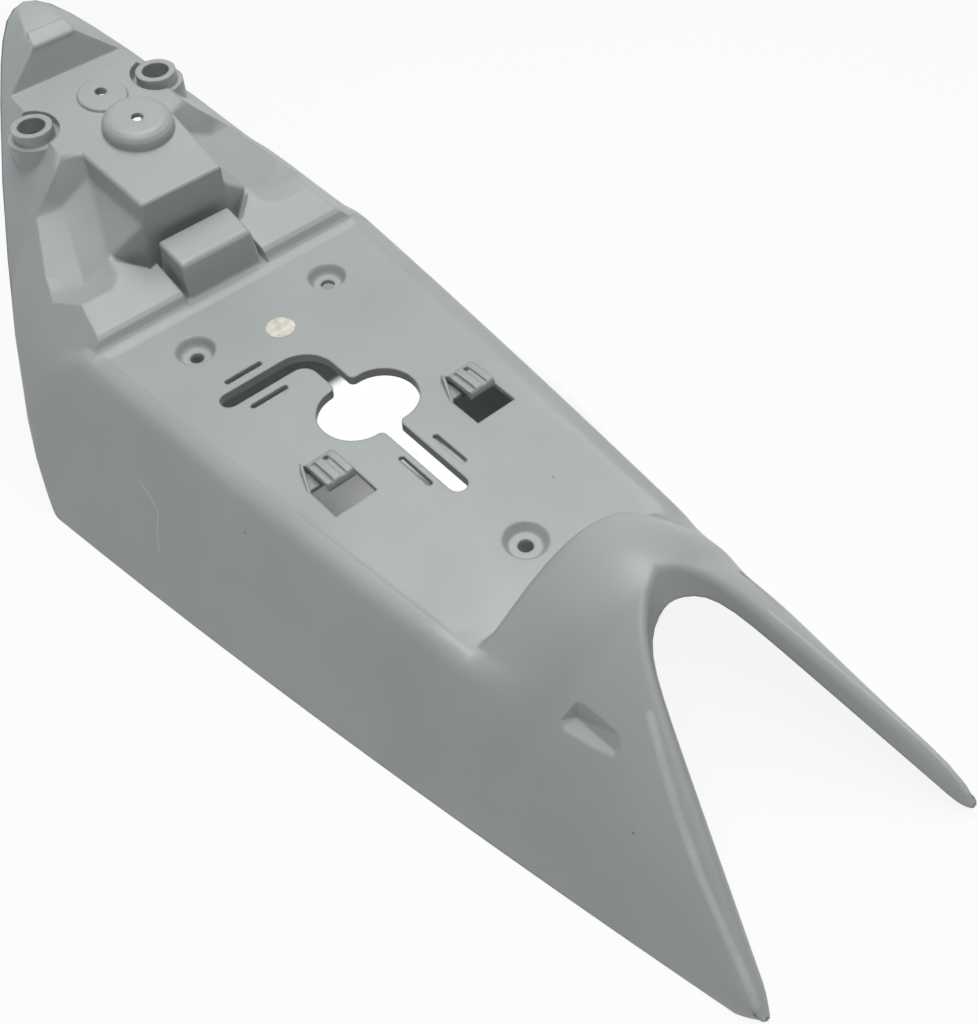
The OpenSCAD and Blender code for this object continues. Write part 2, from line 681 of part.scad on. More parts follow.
// Hook over the rear part of each window: a bent tongue with three ribs, and a wing on its left
hook_w = 14.6;
hook_side = [
    [97, -1], [96, 2], [94, 4.4], [91.6, 5.9], [88, 6.4], [78.6, 6.8], [77.2, 6.2], [76.5, 5],
    [76, 2.2], [78, 2.2], [79.4, 3.4], [90.4, 3], [92.8, 1.6], [93.8, -1]
];
module hook(x) {
    difference() {
        translate([x - hook_w / 2, 0, 0]) rotate([90, 0, 90]) linear_extrude(hook_w) polygon(hook_side);
        translate([x - 4.6, 70, 5.9]) rotate([-2.4, 0, 0]) cube([1.1, 21.6, 4]);
        translate([x + 0.7, 70, 6.2]) rotate([-2.4, 0, 0]) cube([2.7, 21, 4]);
        translate([x - hook_w / 2 - 1, 70, 6.6]) rotate([-2.4, 0, 0]) cube([4.7, 21, 2]);
        translate([x + 0.6, 89.4, 3.9]) cube([2.2, 1.9, 4]);
    }
    translate([x - 6.9, 96.6, 0])
        rotate([90, 0, -112.5])
            linear_extrude(1.4)
                polygon([[0, -1], [15.2, -1], [15.2, 0.2], [4, 3.8], [0, 3.6]]);
}

// Wedge-shaped pocket sunk into each side panel near the notch: its edge on the skin, and the
// two ends of the valley at its bottom
wedge_edge = [
    [51.5, -75.6, 5.4], [45.2, -77.3, 13.9], [44.4, -80.7, 14.8], [44.1, -99.3, 12.7],
    [45.6, -101.3, 10.5], [48.7, -100.5, 6.7], [53.1, -78.2, 3]
];
wedge_valley = [[46.4, -78.8, 5.8], [46.6, -99.4, 7.8]];
wedge_end = [0, 0, 0, 1, 1, 1, 0];
wedge_out = unit(cross(wedge_edge[1] - wedge_edge[5], wedge_edge[3] - wedge_edge[6]));
module wedge(rim, valley) {
    middle = (rim[0] + rim[3]) / 2;
    polyhedron(
        points = concat(rim, valley, [middle]),
        faces = concat(
            [for (k = [0:6]) [(k + 1) % 7, k, 9]],
            [for (k = [0:6]) [k, (k + 1) % 7, 7 + wedge_end[k]]],
            [[8, 7, 3], [7, 8, 6]]
        )
    );
}
module wedge_cut() {
    wedge([for (k = [0:6]) mix(wedge_valley[wedge_end[k]], wedge_edge[k], 1.35)], wedge_valley);
}
module wedge_back() {
    middle = (wedge_edge[0] + wedge_edge[3]) / 2;
    wedge(
        [for (p = wedge_edge) mix(middle, p, 1.16) - wedge_out * 1.1],
        [for (p = wedge_valley) p - wedge_out * wall]
    );
}

module both_sides() {
    children();
    mirror([1, 0, 0]) children();
}

module tail_cowl_body() {
    difference() {
        union() {
            skin();
            tail_shell();
            collars();
            cup(0, 0, front_recess_d, front_recess_depth);
            for (side = [-1, 1])
                cup(side * rear_bolt_half, rear_bolt_back, rear_recess_d, rear_recess_depth);
            openings(rim_wall, -rim_depth, -1);
            both_sides() wedge_back();
        }
        both_sides() wedge_cut();
        at_collars() translate([0, 0, 30]) cylinder(d = collar_bore_d, h = 40);
        openings(0, -rim_depth - 1, 1);
        cup_hollow(0, 0, front_recess_d, front_recess_depth);
        for (side = [-1, 1])
            cup_hollow(side * rear_bolt_half, rear_bolt_back, rear_recess_d, rear_recess_depth);
        for (side = [-1, 1])
            translate([side * window_half - window_w / 2, window_y, -5]) cube([window_w, window_l, 8]);
        for (side = [-1, 1])
            slot_y(side * relief_half, relief_y[0], relief_y[1], relief_w, -rim_depth, 1);
        for (side = [-1, 1])
            slot_x(slot_y0 + side * relief_off, relief_x[0], relief_x[1], relief_w, -rim_depth - wall, 1);
    }
    for (x = hook_xs) hook(x);
}

module place() {
    translate([0, -centre_back, -rest_z(0) * cos(rest_tilt)]) rotate([rest_tilt, 0, 0]) children();
}
module tail_cowl() color("#a9afaf") place() tail_cowl_body();
module label_dot() color("#dedad0") place() translate([0, dot_y, 0]) cylinder(d = dot_d, h = dot_thick);
tail_cowl();
label_dot();
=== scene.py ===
"""Studio picture of a moulded tail cowl: smooth shell, round sticker, pale floor and soft lamps."""

import logging
import math
from dataclasses import dataclass, field
from enum import Enum
from typing import Mapping, Sequence

import bmesh
import bpy
from mathutils import Euler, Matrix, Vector


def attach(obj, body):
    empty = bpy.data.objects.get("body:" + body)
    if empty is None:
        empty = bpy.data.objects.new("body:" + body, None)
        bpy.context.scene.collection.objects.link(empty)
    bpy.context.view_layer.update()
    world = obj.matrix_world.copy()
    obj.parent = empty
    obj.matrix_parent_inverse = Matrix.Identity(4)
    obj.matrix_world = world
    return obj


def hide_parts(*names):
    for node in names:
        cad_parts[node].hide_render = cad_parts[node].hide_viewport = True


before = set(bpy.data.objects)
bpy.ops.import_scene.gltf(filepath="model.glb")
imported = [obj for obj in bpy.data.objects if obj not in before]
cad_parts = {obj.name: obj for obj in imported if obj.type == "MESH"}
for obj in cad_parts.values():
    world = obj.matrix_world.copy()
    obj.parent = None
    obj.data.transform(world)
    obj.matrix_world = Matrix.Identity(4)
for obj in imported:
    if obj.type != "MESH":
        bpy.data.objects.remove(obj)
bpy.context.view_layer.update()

log = logging.getLogger("tail_cowl_scene")

MM = 0.001
Place = tuple[float, float, float]
Span = tuple[float, float]
Colour = tuple[float, float, float, float]
Socket = bpy.types.NodeSocket
Tree = bpy.types.NodeTree

# The deck is flat in a frame of its own, tipped by DECK_TILT and moved by DECK_BACK and DECK_LIFT
DECK_TILT = math.atan(0.1019)
DECK_BACK = 91.0 * MM
DECK_LIFT = 63.643 * MM

# Blender numbers the sockets of a colour mix instead of giving each a name of its own
MIX_SHARE, MIX_FIRST, MIX_SECOND, MIX_RESULT = 0, 6, 7, 2

# Most of a noise lies between these two values, so each blend runs from the first to the second
NOISE_LOW, NOISE_HIGH = 0.3, 0.7

# A mark is full inside the first of these shares of its radius, and gone beyond the second
SPOT_FADE: Span = (0.6, 1.6)
LINE_FADE: Span = (0.5, 1.5)

WHITE: Colour = (1.0, 1.0, 1.0, 1.0)
ANYWHERE: Span = (-math.inf, math.inf)


def on_deck(point: Vector) -> Vector:
    """Give a point's place over the flat deck: across, towards the tail and up from the deck.

    Args:
        point: the point in the shared frame.

    Returns:
        The same point measured from the front bolt hole, along the deck.
    """
    back, rise = point.y + DECK_BACK, point.z - DECK_LIFT
    along = back * math.cos(DECK_TILT) + rise * math.sin(DECK_TILT)
    up = rise * math.cos(DECK_TILT) - back * math.sin(DECK_TILT)
    return Vector((point.x, along, up))


def off_deck(across: float, along: float, up: float) -> Vector:
    """Turn a place over the flat deck into a point of the shared frame.

    Args:
        across: distance to the right of the middle line.
        along: distance behind the front bolt hole.
        up: height over the deck.

    Returns:
        The point.
    """
    back = along * math.cos(DECK_TILT) - up * math.sin(DECK_TILT)
    rise = along * math.sin(DECK_TILT) + up * math.cos(DECK_TILT)
    return Vector((across, back - DECK_BACK, rise + DECK_LIFT))


def srgb(code: str) -> Colour:
    """Turn an sRGB hex colour into the linear values that shaders take.

    Args:
        code: six hexadecimal digits, with or without a leading #.

    Returns:
        Linear red, green and blue, and an alpha of 1.
    """
    digits = code.lstrip("#")
    parts = [int(digits[k:k + 2], 16) / 255 for k in (0, 2, 4)]
    linear = [p / 12.92 if p <= 0.04045 else ((p + 0.055) / 1.055) ** 2.4 for p in parts]
    return (linear[0], linear[1], linear[2], 1.0)


class Lamp(Enum):
    """The soft boxes of the studio."""

    OVERHEAD = "overhead_softbox"
    HIGH_BACK = "high_back_softbox"
    HIGH_FRONT = "high_front_softbox"
    RIGHT = "right_softbox"


@dataclass(frozen=True)
class Pattern:
    """A random pattern of real size, of which a noise texture takes its values.

    Attributes:
        pitch: distance between its features.
        detail: number of finer layers.
        rough: how strong the finer layers are.
    """

    pitch: float
    detail: float
    rough: float = 0.5

    def sockets(self, place: Socket) -> dict[int | str, object]:
        """Give the pattern's values for a noise texture.

        Args:
            place: where the shaded point is.

        Returns:
            The values by socket name.
        """
        return {
            "Vector": place,
            "Scale": 1.0 / self.pitch,
            "Detail": self.detail,
            "Roughness": self.rough,
        }


@dataclass(frozen=True)
class SwageLine:
    """The soft line low on each flank, which turns up towards the tail.

    Attributes:
        proud: how far the flank stands out below the line.
        level: the line's height along the front part of the flank.
        band: half the height over which the step fades out.
        turn_from: where along the part the line starts to turn up.
        run: length over which it has climbed by rise.
        rise: how far it climbs over the run.
        bend: power of the climb.
        faded_until: where along the part, from the front, the line is still invisible.
        full_from: where along the part it has its full depth.
    """

    proud: float = 1.2 * MM
    level: float = 22.5 * MM
    band: float = 9 * MM
    turn_from: float = 60 * MM
    run: float = 59 * MM
    rise: float = 47 * MM
    bend: float = 2.6
    faded_until: float = -70 * MM
    full_from: float = 0.0


@dataclass(frozen=True)
class AbsFinish:
    """Unpainted moulded ABS: a dull satin skin that shows its edges as soft light lines.

    Attributes:
        colour: the plastic's grey.
        shade_colour: its faintly darker flow shades.
        mark_colour: dark specks.
        scratch_colour: whitened plastic of the scratch.
        fold_highlight_colour: pale colour painted along each arm's folded edge as a highlight.
        ior: refraction of ABS.
        roughness_low: roughness where handling has smoothed the skin.
        roughness_high: roughness where it is as it left the mould.
        edge_radius: moulded rounding of every edge.
        edge_samples: rays that the rounding takes at each point.
        grain: spark-eroded grain of the mould; the real one is 0.2 mm, which is too fine to
            show, so it is drawn at 0.55 mm.
        grain_height: depth of that grain.
        grain_strength: how much of the depth shows.
        flow: flow shades on the large panels.
        handling: smoother and duller places; it also sets how strong the painted highlight is.
        swage: the soft line low on the flank.
        speck_radius: size of a dark speck.
        specks: where the four specks are.
        fold_highlight: corners of the painted highlight line along each arm's folded edge,
            right-hand side.
        fold_highlight_half_width: half the width of that painted highlight line.
        fold_highlight_least: how much of the painted highlight shows where it is weakest.
        scratch: corners of the scratch on the left flank.
        scratch_half_width: half its width.
    """

    colour: str = "#a9aeae"
    shade_colour: str = "#a2a8a8"
    mark_colour: str = "#767b7b"
    scratch_colour: str = "#bcc1c1"
    # Painted highlight: the pale line along each arm's folded edge
    fold_highlight_colour: str = "#c4c8c5"
    ior: float = 1.53
    roughness_low: float = 0.36
    roughness_high: float = 0.46
    edge_radius: float = 1.6 * MM
    edge_samples: int = 4
    grain: Pattern = Pattern(0.55 * MM, detail=2.0, rough=0.6)
    grain_height: float = 0.012 * MM
    grain_strength: float = 0.6
    flow: Pattern = Pattern(60 * MM, detail=3.0)
    handling: Pattern = Pattern(14 * MM, detail=5.0, rough=0.65)
    swage: SwageLine = SwageLine()
    speck_radius: float = 0.5 * MM
    specks: Sequence[Place] = (
        (32.7 * MM, -73.3 * MM, 65.4 * MM),
        (-82.0 * MM, 4.9 * MM, 58.7 * MM),
        (-58.0 * MM, -211.0 * MM, 41.0 * MM),
        (24.8 * MM, -137.4 * MM, 93.0 * MM),
    )
    fold_highlight: Sequence[Place] = (
        (33.5 * MM, -195.8 * MM, 76.4 * MM),
        (39.3 * MM, -207.4 * MM, 65.9 * MM),
        (44.8 * MM, -219.3 * MM, 55.4 * MM),
        (52.3 * MM, -239.0 * MM, 39.8 * MM),
        (60.5 * MM, -267.4 * MM, 19.3 * MM),
        (62.9 * MM, -277.2 * MM, 10.0 * MM),
    )
    fold_highlight_half_width: float = 1.5 * MM
    fold_highlight_least: float = 0.35
    scratch: Sequence[Place] = (
        (-95.9 * MM, 78.2 * MM, 50.7 * MM),
        (-96.5 * MM, 68.8 * MM, 47.0 * MM),
        (-98.1 * MM, 61.5 * MM, 41.9 * MM),
        (-103.1 * MM, 60.0 * MM, 30.8 * MM),
        (-105.6 * MM, 56.4 * MM, 24.2 * MM),
    )
    scratch_half_width: float = 0.4 * MM


@dataclass(frozen=True)
class StickerFinish:
    """Cream paper film that has cockled on the plastic.

    Attributes:
        colour: the film's cream, where the wrinkle noise is low.
        wrinkle_shade_colour: painted shade over the cockles, where the wrinkle noise is high.
        roughness: roughness of the film.
        wrinkle: the cockles.
        wrinkle_height: how high they stand.
        wrinkle_strength: how much of that height shows.
        fibre: the paper's fibres.
        fibre_height: how high they stand.
        fibre_strength: how much of that height shows.
    """

    colour: str = "#eeeadf"
    wrinkle_shade_colour: str = "#c6c0b1"
    roughness: float = 0.48
    wrinkle: Pattern = Pattern(4.5 * MM, detail=2.5, rough=0.55)
    wrinkle_height: float = 0.4 * MM
    wrinkle_strength: float = 0.9
    fibre: Pattern = Pattern(0.5 * MM, detail=2.0)
    fibre_height: float = 0.02 * MM
    fibre_strength: float = 0.2


def add_node(
    tree: Tree, kind: str, sockets: Mapping[int | str, object], **settings: object
) -> bpy.types.Node:
    """Add one shader node with its settings, values and links.

    Args:
        tree: the node tree that receives it.
        kind: the node's Blender type.
        sockets: values by socket name or number; a socket is linked and any other value is set.
        **settings: the node's own settings, such as the operation of a sum.

    Returns:
        The new node.
    """
    node = tree.nodes.new(kind)
    for name, value in settings.items():
        setattr(node, name, value)
    for key, value in sockets.items():
        if isinstance(value, Socket):
            tree.links.new(value, node.inputs[key])
        else:
            node.inputs[key].default_value = value
    return node


def blank_material(name: str) -> tuple[bpy.types.Material, Tree]:
    """Make a material with an empty node tree.

    Args:
        name: what the material is made of.

    Returns:
        The material and its tree.
    """
    material = bpy.data.materials.new(name)
    material.use_nodes = True
    tree = material.node_tree
    tree.nodes.clear()
    return material, tree


def strongest(tree: Tree, masks: Sequence[Socket]) -> Socket:
    """Join several marks into one mask.

    Args:
        tree: the node tree.
        masks: the marks.

    Returns:
        The strongest of them at each point.
    """
    result = masks[0]
    for mask in masks[1:]:
        node = add_node(tree, "ShaderNodeMath", {0: result, 1: mask}, operation="MAXIMUM")
        result = node.outputs["Value"]
    return result


def near_point(tree: Tree, place: Socket, point: Place, radius: float) -> Socket:
    """Mark the surface around one point.

    Args:
        tree: the node tree.
        place: where the shaded point is.
        point: middle of the mark.
        radius: distance at which the mark has nearly faded.

    Returns:
        1 at the point and 0 away from it.
    """
    away = add_node(tree, "ShaderNodeVectorMath", {0: place, 1: point}, operation="DISTANCE")
    ramp = {
        "Value": away.outputs["Value"],
        "From Min": SPOT_FADE[0] * radius,
        "From Max": SPOT_FADE[1] * radius,
        "To Min": 1.0,
        "To Max": 0.0,
    }
    return add_node(tree, "ShaderNodeMapRange", ramp).outputs["Result"]


def near_line(tree: Tree, place: Socket, start: Place, end: Place, half_width: float) -> Socket:
    """Mark the surface along one straight line.

    Args:
        tree: the node tree.
        place: where the shaded point is.
        start: first end of the line.
        end: second end of the line.
        half_width: distance at which the mark is half faded.

    Returns:
        1 on the line and 0 away from it.
    """
    way = Vector(end) - Vector(start)
    offset = add_node(tree, "ShaderNodeVectorMath", {0: place, 1: start}, operation="SUBTRACT")
    offset = offset.outputs["Vector"]
    share = add_node(
        tree,
        "ShaderNodeVectorMath",
        {0: offset, 1: tuple(way / way.length_squared)},
        operation="DOT_PRODUCT",
    )
    held = add_node(tree, "ShaderNodeClamp", {"Value": share.outputs["Value"]})
    foot = add_node(
        tree,
        "ShaderNodeVectorMath",
        {0: tuple(way), "Scale": held.outputs["Result"]},
        operation="SCALE",
    )
    away = add_node(
        tree, "ShaderNodeVectorMath", {0: offset, 1: foot.outputs["Vector"]}, operation="DISTANCE"
    )
    ramp = {
        "Value": away.outputs["Value"],
        "From Min": LINE_FADE[0] * half_width,
        "From Max": LINE_FADE[1] * half_width,
        "To Min": 1.0,
        "To Max": 0.0,
    }
    return add_node(tree, "ShaderNodeMapRange", ramp).outputs["Result"]


def along_lines(tree: Tree, place: Socket, corners: Sequence[Place], half_width: float) -> Socket:
    """Mark the surface along a line with corners.

    Args:
        tree: the node tree.
        place: where the shaded point is.
        corners: the line's corners.
        half_width: half the width of the mark.

    Returns:
        1 on the line and 0 away from it.
    """
    pairs = zip(corners, corners[1:])
    return strongest(tree, [near_line(tree, place, start, end, half_width) for start, end in pairs])


def right_hand(tree: Tree, place: Socket) -> Socket:
    """Fold the left-hand side over to the right, so that one mark shows on both.

    Args:
        tree: the node tree.
        place: where the shaded point is.

    Returns:
        The same place on the right-hand side.
    """
    axes = add_node(tree, "ShaderNodeSeparateXYZ", {"Vector": place}).outputs
    aside = add_node(tree, "ShaderNodeMath", {0: axes["X"]}, operation="ABSOLUTE")
    both = {"X": aside.outputs["Value"], "Y": axes["Y"], "Z": axes["Z"]}
    return add_node(tree, "ShaderNodeCombineXYZ", both).outputs["Vector"]


def seen_ray(tree: Tree) -> Socket:
    """Tell rays that show the surround from rays that light the part.

    Args:
        tree: the node tree.

    Returns:
        1 for rays from the camera, mirrors and glass, and 0 for the rest.
    """
    path = add_node(tree, "ShaderNodeLightPath", {}).outputs
    kinds = ("Is Camera Ray", "Is Glossy Ray", "Is Transmission Ray")
    return strongest(tree, [path[name] for name in kinds])


def swage_step(tree: Tree, place: Socket, swage: SwageLine) -> Socket:
    """Draw the soft swage line that runs low along each flank and turns up towards the tail.

    Args:
        tree: the node tree.
        place: where the shaded point is.
        swage: the line's course.

    Returns:
        1 below the line, where the flank stands proud, and 0 above it.
    """
    axes = add_node(tree, "ShaderNodeSeparateXYZ", {"Vector": place}).outputs
    past = add_node(tree, "ShaderNodeMath", {0: axes["Y"], 1: swage.turn_from}, operation="SUBTRACT")
    held = add_node(tree, "ShaderNodeMath", {0: past.outputs["Value"], 1: 0.0}, operation="MAXIMUM")
    share = add_node(
        tree, "ShaderNodeMath", {0: held.outputs["Value"], 1: swage.run}, operation="DIVIDE"
    )
    climb = add_node(
        tree, "ShaderNodeMath", {0: share.outputs["Value"], 1: swage.bend}, operation="POWER"
    )
    line = add_node(
        tree,
        "ShaderNodeMath",
        {0: climb.outputs["Value"], 1: swage.rise, 2: swage.level},
        operation="MULTIPLY_ADD",
    )
    height = add_node(
        tree, "ShaderNodeMath", {0: axes["Z"], 1: line.outputs["Value"]}, operation="SUBTRACT"
    )
    under = {
        "Value": height.outputs["Value"],
        "From Min": -swage.band,
        "From Max": swage.band,
        "To Min": 1.0,
        "To Max": 0.0,
    }
    begun = {"Value": axes["Y"], "From Min": swage.faded_until, "From Max": swage.full_from}
    steps = [
        add_node(tree, "ShaderNodeMapRange", ramp, interpolation_type="SMOOTHSTEP").outputs["Result"]
        for ramp in (under, begun)
    ]
    both = add_node(tree, "ShaderNodeMath", {0: steps[0], 1: steps[1]}, operation="MULTIPLY")
    return both.outputs["Value"]


def abs_moulded(finish: AbsFinish) -> bpy.types.Material:
    """Grey ABS as it leaves the mould.

    The eye reads it as plastic by its broad dull highlight, a fine even grain, faint flow shades
    across the large panels and edges that are never quite sharp. The pale line along each arm's
    folded edge is a painted highlight.

    Args:
        finish: colours and sizes.

    Returns:
        The material.
    """
    material, tree = blank_material("abs_moulded_grey")
    place = add_node(tree, "ShaderNodeTexCoord", {}).outputs["Object"]

    # Broad shades of the flow, even grain of the mould, and patches that hands have smoothed
    flow, grain, handling = (
        add_node(tree, "ShaderNodeTexNoise", pattern.sockets(place)).outputs["Fac"]
        for pattern in (finish.flow, finish.grain, finish.handling)
    )
    spread = {"From Min": NOISE_LOW, "From Max": NOISE_HIGH}
    # The middle value sets how strong the painted highlight along each folded edge is
    shade, highlight_strength, roughness = (
        add_node(
            tree, "ShaderNodeMapRange", spread | {"Value": noise, "To Min": low, "To Max": high}
        ).outputs["Result"]
        for noise, low, high in (
            (flow, 0.0, 1.0),
            (handling, finish.fold_highlight_least, 1.0),
            (handling, finish.roughness_low, finish.roughness_high),
        )
    )

    edge = add_node(
        tree, "ShaderNodeBevel", {"Radius": finish.edge_radius}, samples=finish.edge_samples
    )
    swage = add_node(
        tree,
        "ShaderNodeBump",
        {
            "Strength": 1.0,
            "Distance": finish.swage.proud,
            "Height": swage_step(tree, place, finish.swage),
            "Normal": edge.outputs["Normal"],
        },
    )
    bump = add_node(
        tree,
        "ShaderNodeBump",
        {
            "Strength": finish.grain_strength,
            "Distance": finish.grain_height,
            "Height": grain,
            "Normal": swage.outputs["Normal"],
        },
    )

    # The marks lie over the plain grey in this order: painted highlight along each folded edge,
    # scratch, specks
    specks = strongest(
        tree, [near_point(tree, place, speck, finish.speck_radius) for speck in finish.specks]
    )
    scratch = along_lines(tree, place, finish.scratch, finish.scratch_half_width)
    # Painted highlight: a pale line along each arm's folded edge, on both sides, stands in for the
    # light that the rounded edge catches
    fold_highlight = along_lines(tree, right_hand(tree, place), finish.fold_highlight, finish.fold_highlight_half_width)
    highlight_share = add_node(tree, "ShaderNodeMath", {0: fold_highlight, 1: highlight_strength}, operation="MULTIPLY")
    colour: Socket | Colour = srgb(finish.colour)
    for share, over in (
        (shade, finish.shade_colour),
        (highlight_share.outputs["Value"], finish.fold_highlight_colour),
        (scratch, finish.scratch_colour),
        (specks, finish.mark_colour),
    ):
        layers = {MIX_SHARE: share, MIX_FIRST: colour, MIX_SECOND: srgb(over)}
        colour = add_node(tree, "ShaderNodeMix", layers, data_type="RGBA").outputs[MIX_RESULT]

    shader = add_node(
        tree,
        "ShaderNodeBsdfPrincipled",
        {
            "Base Color": colour,
            "Roughness": roughness,
            "IOR": finish.ior,
            "Normal": bump.outputs["Normal"],
        },
    )
    add_node(tree, "ShaderNodeOutputMaterial", {"Surface": shader.outputs["BSDF"]})
    return material


def sticker_film(finish: StickerFinish) -> bpy.types.Material:
    """Cream film with cockles that catch the light in short bright ridges, under painted shade.

    Args:
        finish: colours and sizes.

    Returns:
        The material.
    """
    material, tree = blank_material("cream_sticker_film")
    place = add_node(tree, "ShaderNodeTexCoord", {}).outputs["Object"]
    wrinkle, fibre = (
        add_node(tree, "ShaderNodeTexNoise", pattern.sockets(place)).outputs["Fac"]
        for pattern in (finish.wrinkle, finish.fibre)
    )
    ridges = add_node(
        tree,
        "ShaderNodeBump",
        {"Strength": finish.wrinkle_strength, "Distance": finish.wrinkle_height, "Height": wrinkle},
    )
    bump = add_node(
        tree,
        "ShaderNodeBump",
        {
            "Strength": finish.fibre_strength,
            "Distance": finish.fibre_height,
            "Height": fibre,
            "Normal": ridges.outputs["Normal"],
        },
    )
    # Painted shade over the cockles: the film is drawn darker where the noise that raises them is
    # high
    wrinkle_shade = add_node(
        tree, "ShaderNodeMapRange", {"Value": wrinkle, "From Min": NOISE_LOW, "From Max": NOISE_HIGH}
    )
    colour = add_node(
        tree,
        "ShaderNodeMix",
        {
            MIX_SHARE: wrinkle_shade.outputs["Result"],
            MIX_FIRST: srgb(finish.colour),
            MIX_SECOND: srgb(finish.wrinkle_shade_colour),
        },
        data_type="RGBA",
    )
    shader = add_node(
        tree,
        "ShaderNodeBsdfPrincipled",
        {
            "Base Color": colour.outputs[MIX_RESULT],
            "Roughness": finish.roughness,
            "Normal": bump.outputs["Normal"],
        },
    )
    add_node(tree, "ShaderNodeOutputMaterial", {"Surface": shader.outputs["BSDF"]})
    return material


@dataclass(frozen=True)
class Region:
    """A box over the deck, the same on both sides of the middle line, in millimetres.

    Attributes:
        aside: least and greatest distance from the middle line.
        along: least and greatest distance behind the front bolt hole.
        up: least and greatest height over the deck.
    """

    aside: Span = ANYWHERE
    along: Span = ANYWHERE
    up: Span = ANYWHERE

    def holds(self, point: Vector) -> bool:
        """Say whether a point lies in the region.

        Args:
            point: the point in the shared frame.

        Returns:
            True inside the box.
        """
        across, along, up = on_deck(point) / MM
        spans = ((self.aside, abs(across)), (self.along, along), (self.up, up))
        return all(low < value < high for (low, high), value in spans)


@dataclass(frozen=True)
class TailTop:
    """The faceted top of the tail, between its two upper edges, in millimetres over the deck.

    Attributes:
        starts: where it starts, just in front of the step.
        half_width: half its width there, at the height of the deck.
        spread: how much wider each side grows for each millimetre further back.
        lean: how much narrower each side grows for each millimetre of height.
    """

    starts: float = 221.5
    half_width: float = 75.0
    spread: float = 0.068
    lean: float = 0.9

    def holds(self, point: Vector) -> bool:
        """Say whether a point lies on the tail's top.

        Args:
            point: the point in the shared frame.

        Returns:
            True between the two upper edges, behind the step.
        """
        across, along, up = on_deck(point) / MM
        past = along - self.starts
        return past > 0 and abs(across) < self.half_width + self.spread * past - self.lean * up


@dataclass(frozen=True)
class RoundedEdges:
    """Edges of the tail that share one moulded radius.

    Attributes:
        radius: the radius.
        regions: both ends of such an edge lie in one of these.
        left_out: neither end of such an edge lies in any of these.
    """

    radius: float
    regions: Sequence[Region]
    left_out: Sequence[Region] = ()

    def takes(self, edge: bmesh.types.BMEdge) -> bool:
        """Say whether an edge gets this radius.

        Args:
            edge: the edge.

        Returns:
            True for one that lies in the regions.
        """
        ends = [corner.co for corner in edge.verts]
        if any(region.holds(end) for region in self.left_out for end in ends):
            return False
        return any(all(region.holds(end) for end in ends) for region in self.regions)


